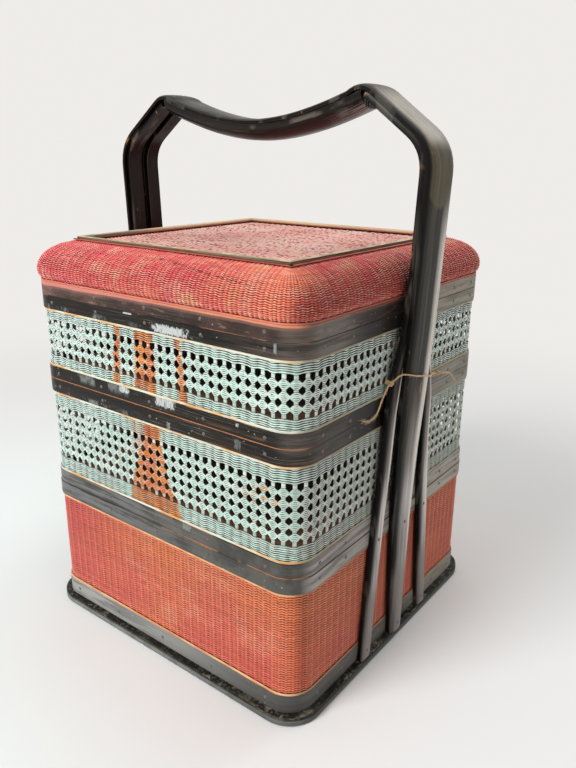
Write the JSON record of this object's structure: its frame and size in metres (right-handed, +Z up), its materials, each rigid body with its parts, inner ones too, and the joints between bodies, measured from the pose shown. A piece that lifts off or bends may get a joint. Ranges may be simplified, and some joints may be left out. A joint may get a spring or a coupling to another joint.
{
  "type": "tiffin carrier",
  "caption": "Stacked woven food carrier: openwork trays and a domed lid over a fixed woven tray, held inside a tall bent lacquered handle frame.",
  "frame": {"origin": "centre of the underside of the plinth, at the level of the surface it stands on", "axes": "+Z up through the lid, +X along the handle towards the side where the twine is tied, -Y towards the front face"},
  "size_m": [0.3412, 0.312, 0.4835],
  "materials": {
    "black_lacquer": "worn black lacquer over bamboo, satin",
    "dark_red_lacquer": "dark brown-red lacquer over bamboo, satin",
    "red_cane": "painted fine cane weave, faded red to orange",
    "lid_red_cane": "painted fine cane weave, faded pink-red",
    "mint_cane": "pale mint paint over open cane weave, worn",
    "pink_twill": "fine split-cane twill with faded pink colour",
    "dark_red_cane": "flat dark red cane strip",
    "olive_bamboo": "thin bamboo strip with worn varnish",
    "tan_cane": "bare tan cane strip",
    "inner_bamboo": "bare brown bamboo strip",
    "floor_board": "thin brown board",
    "iron_nail": "small dull iron nail head",
    "twine": "natural fibre twine, fuzzy"
  },
  "bodies": {
    "base_frame": {"plinth": "black_lacquer", "base_board": "floor_board", "bottom_foot_band": "black_lacquer", "bottom_foot_hoop": "inner_bamboo", "bottom_weave": "red_cane", "bottom_rim_band": "black_lacquer", "bottom_rim_hoop": "inner_bamboo", "bottom_canes": "tan_cane", "bottom_nails": "iron_nail", "handle_strip": "black_lacquer", "handle_grip": "dark_red_lacquer", "strut_front_right": "black_lacquer", "strut_back_right": "black_lacquer", "strut_front_left": "black_lacquer", "strut_back_left": "black_lacquer", "strut_nails": "iron_nail", "twine": "twine", "twine_end": "twine", "twine_knots": "twine"},
    "middle_tray": {"middle_foot_band": "black_lacquer", "middle_foot_hoop": "inner_bamboo", "middle_floor": "floor_board", "middle_weave": "mint_cane", "middle_rim_band": "black_lacquer", "middle_rim_hoop": "inner_bamboo", "middle_canes": "tan_cane", "middle_nails": "iron_nail"},
    "upper_tray": {"upper_foot_band": "black_lacquer", "upper_foot_hoop": "inner_bamboo", "upper_floor": "floor_board", "upper_weave": "mint_cane", "upper_rim_band": "black_lacquer", "upper_rim_hoop": "inner_bamboo", "upper_canes": "tan_cane", "upper_nails": "iron_nail"},
    "lid": {"lid_band": "black_lacquer", "lid_hoop": "inner_bamboo", "lid_weave": "lid_red_cane", "lid_cane": "tan_cane", "lid_ledger": "inner_bamboo", "lid_panel": "pink_twill", "lid_binding": "dark_red_cane", "lid_frame": "olive_bamboo", "lid_nails": "iron_nail"}
  },
  "joints": [
    {"name": "middle_tray_lift", "type": "slide", "parent": "base_frame", "child": "middle_tray", "axis": [0, 0, 1], "range_m": [0, 0.02]},
    {"name": "upper_tray_lift", "type": "slide", "parent": "middle_tray", "child": "upper_tray", "axis": [0, 0, 1], "range_m": [0, 0.022]},
    {"name": "lid_lift", "type": "slide", "parent": "upper_tray", "child": "lid", "axis": [0, 0, 1], "range_m": [0, 0.03]}
  ]
}
